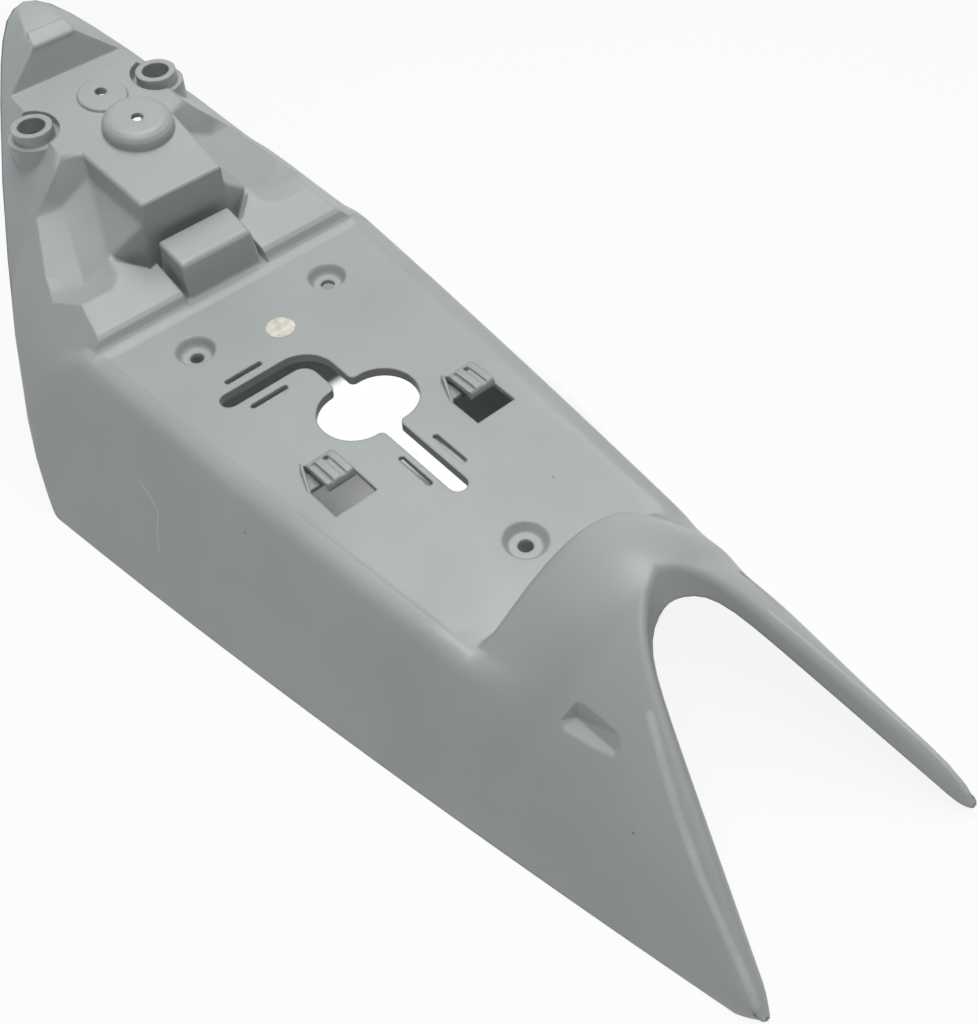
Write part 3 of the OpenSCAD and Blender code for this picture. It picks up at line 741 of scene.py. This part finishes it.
@dataclass
class MouldedShell:
    """The cowl's shell, with the small facets of the solid joined into one smooth skin.

    Attributes:
        node: the CAD node that it stands for.
        crease: angle in degrees above which an edge stays sharp.
        tail_crease: the same angle in the faceted tail, between its ledges, ramps and pockets.
        arm_crease: the same angle on the swelling hump and arms, which have only soft folds.
        merge: distance under which corners are joined.
        flat_turn: angle in degrees under which two faces of the tail become one.
        round_turn: angle in degrees above which an edge of the tail is rounded.
        round_length: shortest edge that is rounded.
        round_steps: number of strips in a rounded edge.
        round_profile: shape of its section, which is a quarter circle at 0.5.
        flat_weight: how much large faces rule the shading of the skin beside them.
        tail: the faceted top of the tail.
        wedge: the wedge-shaped pocket beside the notch.
        arms: the hump and both arms.
        rounds: block, riser, ledges and pockets first, then the nose's foot and its pad.
        tip_from: where along the deck the rounding of the arm tips starts.
        tip_end: where along the deck the arms end.
        tip_near: how far behind that start the corners still go into the cuts.
        tip_cuts: cross-sections that are added, as shares of the way to the end.
        tip_snap: distance under which a corner counts as lying on a cut.
        tip_last: share of the way after which a tip grows no narrower.
        tip_core: distance from the middle line and height over the deck of the point that a
            tip rounds in to.
        finish: the plastic's look.
    """

    node: str = "tail_cowl"
    crease: float = 33.0
    tail_crease: float = 9.0
    arm_crease: float = 78.0
    merge: float = 0.01 * MM
    flat_turn: float = 0.4
    round_turn: float = 18.0
    round_length: float = 5 * MM
    round_steps: int = 3
    round_profile: float = 0.5
    flat_weight: int = 50
    tail: TailTop = TailTop()
    wedge: Region = Region(aside=(43.5, 53.0), along=(-101.5, -75.5), up=(2.5, 15.0))
    arms: Region = Region(along=(-math.inf, -45.0))
    rounds: Sequence[RoundedEdges] = (
        RoundedEdges(
            radius=1.8 * MM,
            regions=(
                Region(aside=(-1.0, 22.5), along=(221.5, 250.0), up=(-1.0, math.inf)),
                Region(along=(228.0, 347.0), up=(-1.0, math.inf)),
            ),
            left_out=(Region(aside=(22.6, 27.0), along=(246.0, 251.0), up=(-math.inf, 16.0)),),
        ),
        RoundedEdges(
            radius=0.9 * MM,
            regions=(
                Region(along=(353.1, 353.9)),
                Region(aside=(-1.0, 12.2), along=(356.0, 364.5), up=(77.0, math.inf)),
            ),
        ),
    )
    tip_from: float = -187.0 * MM
    tip_end: float = -196.4 * MM
    tip_near: float = 12 * MM
    tip_cuts: Sequence[float] = (0.0, 0.3, 0.55, 0.74, 0.88, 0.96)
    tip_snap: float = 1e-7
    tip_last: float = 0.998
    tip_core: tuple[float, float] = (61.9 * MM, -39.2 * MM)
    finish: AbsFinish = field(default_factory=AbsFinish)

    def build(self) -> bpy.types.Object:
        """Make the shell and let it stand for its node.

        Returns:
            The new object.
        """
        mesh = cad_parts[self.node].data.copy()
        mesh.name = "moulded_shell"
        work = bmesh.new()
        work.from_mesh(mesh)
        bmesh.ops.remove_doubles(work, verts=work.verts, dist=self.merge)
        bmesh.ops.dissolve_degenerate(work, edges=work.edges, dist=self.merge)
        self.cut_tips(work)
        self.round_tips(work)
        for face in work.faces:
            face.smooth = True
        for edge in work.edges:
            edge.smooth = not self.is_sharp(edge)
        self.join_flats(work)
        for rounded in self.rounds:
            self.round_edges(work, rounded)
        work.to_mesh(mesh)
        work.free()
        shell = bpy.data.objects.new("moulded_shell", mesh)
        bpy.context.scene.collection.objects.link(shell)
        weights = shell.modifiers.new("even_flats", "WEIGHTED_NORMAL")
        weights.keep_sharp = True
        weights.weight = self.flat_weight
        mesh.materials.clear()
        mesh.materials.append(abs_moulded(self.finish))
        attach(shell, "root")
        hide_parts(self.node)
        log.info("%s: %d faces", shell.name, len(mesh.polygons))
        return shell

    def cut_tips(self, work: bmesh.types.BMesh) -> None:
        """Cut a few more cross-sections into both arm tips.

        Args:
            work: the shell's mesh.
        """
        ahead = off_deck(0.0, -1.0, 0.0) - off_deck(0.0, 0.0, 0.0)
        for share in self.tip_cuts:
            near = {v for v in work.verts if on_deck(v.co).y < self.tip_from + self.tip_near}
            faces = [f for f in work.faces if not near.isdisjoint(f.verts)]
            rims = {e for f in faces for e in f.edges}
            edges = [e for e in work.edges if e in rims or not near.isdisjoint(e.verts)]
            ends = {v for e in edges for v in e.verts}
            corners = [v for v in work.verts if v in ends]
            along = self.tip_from + share * (self.tip_end - self.tip_from)
            bmesh.ops.bisect_plane(
                work,
                geom=[*corners, *edges, *faces],
                dist=self.tip_snap,
                plane_co=off_deck(0.0, along, 0.0),
                plane_no=ahead,
            )

    def round_tips(self, work: bmesh.types.BMesh) -> None:
        """Narrow both arm tips along a quarter of an oval.

        Args:
            work: the shell's mesh.
        """
        for corner in work.verts:
            across, along, up = on_deck(corner.co)
            share = (self.tip_from - along) / (self.tip_from - self.tip_end)
            if share <= 0:
                continue
            keep = math.sqrt(1 - min(share, self.tip_last) ** 2)
            core = math.copysign(self.tip_core[0], across)
            corner.co = off_deck(
                core + (across - core) * keep,
                along,
                self.tip_core[1] + (up - self.tip_core[1]) * keep,
            )

    def join_flats(self, work: bmesh.types.BMesh) -> None:
        """Join the triangles of each flat of the tail, so that its edges are whole.

        Args:
            work: the shell's mesh.
        """
        flats = {f for f in work.faces if self.tail.holds(f.calc_center_median())}
        bmesh.ops.dissolve_limit(
            work,
            angle_limit=math.radians(self.flat_turn),
            verts=[v for v in work.verts if not flats.isdisjoint(v.link_faces)],
            edges=[e for e in work.edges if not flats.isdisjoint(e.link_faces)],
            delimit={"SHARP"},
        )

    def round_edges(self, work: bmesh.types.BMesh, rounded: RoundedEdges) -> None:
        """Give one group of the tail's long straight edges its radius.

        Args:
            work: the shell's mesh.
            rounded: the group.
        """
        chosen = [e for e in work.edges if self.is_long_edge(e) and rounded.takes(e)]
        result = bmesh.ops.bevel(
            work,
            geom=chosen,
            offset=rounded.radius,
            offset_type="OFFSET",
            segments=self.round_steps,
            profile=self.round_profile,
            affect="EDGES",
            clamp_overlap=False,
        )
        for face in result["faces"]:
            face.smooth = True
            for edge in face.edges:
                edge.smooth = True
        log.info("rounded %d edges to %.1f mm", len(chosen), rounded.radius / MM)

    def is_long_edge(self, edge: bmesh.types.BMEdge) -> bool:
        """Say whether an edge is a long straight corner of the tail.

        Args:
            edge: the edge.

        Returns:
            True for one that may get a radius.
        """
        if edge.smooth or len(edge.link_faces) != 2 or edge.calc_length() < self.round_length:
            return False
        if math.degrees(edge.calc_face_angle(0.0)) < self.round_turn:
            return False
        return all(self.tail.holds(face.calc_center_median()) for face in edge.link_faces)

    def is_sharp(self, edge: bmesh.types.BMEdge) -> bool:
        """Say whether an edge of the shell shows as a line.

        Args:
            edge: the edge.

        Returns:
            True for a corner of the moulding and False inside a rounded surface.
        """
        if len(edge.link_faces) != 2:
            return True
        turn = math.degrees(edge.calc_face_angle(0.0))
        middles = [face.calc_center_median() for face in edge.link_faces]
        if all(map(self.tail.holds, middles)) or any(map(self.wedge.holds, middles)):
            return turn > self.tail_crease
        if all(map(self.arms.holds, middles)):
            return turn > self.arm_crease
        return turn > self.crease


@dataclass
class RoundSticker:
    """The blank round sticker on the deck.

    Attributes:
        node: the CAD node that is the sticker.
        finish: its film.
    """

    node: str = "label_dot"
    finish: StickerFinish = field(default_factory=StickerFinish)

    def build(self) -> bpy.types.Object:
        """Give the sticker its film.

        Returns:
            The CAD node's object.
        """
        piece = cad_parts[self.node]
        material = sticker_film(self.finish)
        if piece.material_slots:
            for place in piece.material_slots:
                place.material = material
        else:
            piece.data.materials.append(material)
        log.info("%s: dressed in %s", piece.name, material.name)
        return piece


@dataclass(frozen=True)
class Oval:
    """An oval on the floor with a soft rim.

    Attributes:
        middle: its middle.
        radii: its radii along X and Y; the third is 1.
        start: share of the radii at which the rim's fade is 0.
        end: share of the radii at which it is 1.
    """

    middle: Place
    radii: Place
    start: float
    end: float

    def fade(self, tree: Tree, place: Socket) -> Socket:
        """Fade from 0 to 1 across the rim.

        Args:
            tree: the node tree.
            place: the floor's object coordinates.

        Returns:
            The faded value.
        """
        offset = add_node(
            tree, "ShaderNodeVectorMath", {0: place, 1: self.middle}, operation="SUBTRACT"
        )
        scaled = add_node(
            tree,
            "ShaderNodeVectorMath",
            {0: offset.outputs["Vector"], 1: self.radii},
            operation="DIVIDE",
        )
        away = add_node(
            tree, "ShaderNodeVectorMath", {0: scaled.outputs["Vector"]}, operation="LENGTH"
        )
        ramp = {"Value": away.outputs["Value"], "From Min": self.start, "From Max": self.end}
        node = add_node(tree, "ShaderNodeMapRange", ramp, interpolation_type="SMOOTHSTEP")
        return node.outputs["Result"]


@dataclass(frozen=True)
class Softbox:
    """One soft studio lamp.

    Attributes:
        kind: which lamp it is.
        place: where it stands, in metres.
        size: length of its square side.
        power: radiant power in watts.
        aim: the point that it faces.
    """

    kind: Lamp
    place: Place
    size: float
    power: float
    aim: Place = (0.0, -0.05, 0.08)

    def hang(self) -> bpy.types.Object:
        """Hang the lamp.

        Returns:
            The lamp's object.
        """
        light = bpy.data.lights.new(self.kind.value, "AREA")
        light.shape = "SQUARE"
        light.size = self.size
        light.energy = self.power
        holder = bpy.data.objects.new(self.kind.value, light)
        holder.location = self.place
        way = Vector(self.aim) - Vector(self.place)
        holder.rotation_euler = way.to_track_quat("-Z", "Y").to_euler()
        bpy.context.scene.collection.objects.link(holder)
        log.info("%s: %.1f W", holder.name, light.energy)
        return holder


@dataclass
class Studio:
    """Pale floor, soft lamps and a plain white surround.

    Attributes:
        floor_colour: hex colour of the floor's paper.
        floor_shade: its faintly darker shade.
        mottle: how the two shades are spread.
        floor_size: length of the floor's side in metres.
        floor_drop: how far the floor lies under the part.
        floor_white: how white the floor outside the near oval is drawn; only the rest of it is
            the floor's own shading.
        near: the floor under the part keeps its own shaded colour inside this oval.
        far: the floor is plain white outside this oval.
        seen_through: the floor is white in these and shows no shadow, so that the keyhole's lobes
            and its straight slot show white from the photo's side, as in the cut-out photo. From
            other sides they don't line up with the openings.
        surround_colour: hex colour of the light from all around.
        ambient: strength of that light.
        lamps: the soft boxes.
    """

    floor_colour: str = "#f6f6f6"
    floor_shade: str = "#f3f3f3"
    mottle: Pattern = Pattern(0.2, detail=2.0)
    floor_size: float = 6.0
    floor_drop: float = 0.2 * MM
    floor_white: float = 0.9
    near: Oval = Oval((0.03, 0.08, 0.0), (0.085, 0.175, 1.0), 1.0, 1.22)
    far: Oval = Oval((0.0, 0.0, 0.0), (0.35, 0.35, 1.0), 1.0, 2.3)
    # Painted light: white patches laid into the part's shadow on the floor
    seen_through: Sequence[Oval] = (
        Oval((0.043, 0.091, 0.0), (0.037, 0.025, 1.0), 1.35, 0.97),
        Oval((0.0395, 0.035, 0.0), (0.0095, 0.042, 1.0), 1.35, 0.97),
    )
    surround_colour: str = "#eef1f3"
    ambient: float = 0.04
    lamps: Sequence[Softbox] = (
        Softbox(Lamp.OVERHEAD, (-0.1, -0.1, 1.35), 0.8, 5.5),
        Softbox(Lamp.HIGH_BACK, (0.3, 0.25, 1.25), 0.6, 5.6),
        Softbox(Lamp.HIGH_FRONT, (-0.3, -0.55, 1.2), 0.6, 4.1),
        Softbox(Lamp.RIGHT, (1.0, 0.0, 1.0), 0.8, 1.1),
    )

    def build(self) -> None:
        """Make the floor, the lamps and the world."""
        self.add_floor()
        for lamp in self.lamps:
            lamp.hang()
        self.add_world()

    def add_floor(self) -> None:
        """Lay the floor: shadow in the near oval, save two patches of painted light, and pale beside
        it.
        """
        half = self.floor_size / 2
        mesh = bpy.data.meshes.new("studio_floor")
        corners = [(-half, -half, 0.0), (half, -half, 0.0), (half, half, 0.0), (-half, half, 0.0)]
        mesh.from_pydata(corners, [], [(0, 1, 2, 3)])
        mesh.materials.append(self.floor_paper())
        floor = bpy.data.objects.new("studio_floor", mesh)
        floor.location.z = -self.floor_drop
        bpy.context.scene.collection.objects.link(floor)
        log.info("%s: %.1f m wide", floor.name, self.floor_size)

    def floor_paper(self) -> bpy.types.Material:
        """Matt white paper, which has no highlight, under the white that is drawn over it.

        Returns:
            The material.
        """
        material, tree = blank_material("matt_paper_floor")
        place = add_node(tree, "ShaderNodeTexCoord", {}).outputs["Object"]
        mottle = add_node(tree, "ShaderNodeTexNoise", self.mottle.sockets(place))
        colour = add_node(
            tree,
            "ShaderNodeMix",
            {
                MIX_SHARE: mottle.outputs["Fac"],
                MIX_FIRST: srgb(self.floor_colour),
                MIX_SECOND: srgb(self.floor_shade),
            },
            data_type="RGBA",
        )
        matt = add_node(tree, "ShaderNodeBsdfDiffuse", {"Color": colour.outputs[MIX_RESULT]})
        white = add_node(tree, "ShaderNodeEmission", {"Color": WHITE, "Strength": 1.0})
        beside = add_node(
            tree,
            "ShaderNodeMath",
            {0: self.near.fade(tree, place), 1: self.floor_white},
            operation="MULTIPLY",
        )
        # The far oval is the plain white backdrop; the seen_through patches are painted light in the
        # part's shadow
        plain = [oval.fade(tree, place) for oval in (self.far, *self.seen_through)]
        share = strongest(tree, [beside.outputs["Value"], *plain])
        seen = add_node(
            tree, "ShaderNodeMath", {0: share, 1: seen_ray(tree)}, operation="MULTIPLY"
        )
        pick = add_node(
            tree,
            "ShaderNodeMixShader",
            {0: seen.outputs["Value"], 1: matt.outputs["BSDF"], 2: white.outputs["Emission"]},
        )
        add_node(tree, "ShaderNodeOutputMaterial", {"Surface": pick.outputs["Shader"]})
        return material

    def add_world(self) -> None:
        """Give the surround a plain level of light, and pure white where it is seen."""
        world = bpy.data.worlds.new("studio_surround")
        bpy.context.scene.world = world
        world.use_nodes = True
        tree = world.node_tree
        tree.nodes.clear()
        glow = add_node(
            tree,
            "ShaderNodeBackground",
            {"Color": srgb(self.surround_colour), "Strength": self.ambient},
        )
        white = add_node(tree, "ShaderNodeBackground", {"Color": WHITE, "Strength": 1.0})
        pick = add_node(
            tree,
            "ShaderNodeMixShader",
            {0: seen_ray(tree), 1: glow.outputs["Background"], 2: white.outputs["Background"]},
        )
        add_node(tree, "ShaderNodeOutputWorld", {"Surface": pick.outputs["Shader"]})


@dataclass(frozen=True)
class Viewpoint:
    """Camera that stands where the photograph was taken.

    Attributes:
        place: where the camera stands, in metres.
        turn: its rotation about X, Y and Z in degrees.
        lens: focal length in millimetres.
        sensor: length of the sensor in millimetres.
        nearest: nearest distance that it shows, in metres.
    """

    place: Place = (-0.23295, -0.38280, 0.47549)
    turn: Place = (43.3761, 4.6937, -41.3713)
    lens: float = 45.82
    sensor: float = 36.0
    nearest: float = 0.01

    def build(self) -> bpy.types.Object:
        """Set the camera up.

        Returns:
            The camera.
        """
        data = bpy.data.cameras.new("product_camera")
        data.lens = self.lens
        data.sensor_width = self.sensor
        data.sensor_fit = "AUTO"
        data.clip_start = self.nearest
        camera = bpy.data.objects.new("product_camera", data)
        camera.location = self.place
        camera.rotation_euler = Euler([math.radians(angle) for angle in self.turn], "XYZ")
        bpy.context.scene.collection.objects.link(camera)
        bpy.context.scene.camera = camera
        return camera


def main() -> None:
    """Build the whole picture."""
    logging.basicConfig(level=logging.INFO)
    bpy.context.scene.view_settings.view_transform = "Standard"
    Viewpoint().build()
    MouldedShell().build()
    RoundSticker().build()
    Studio().build()


if __name__ == "__main__":
    main()
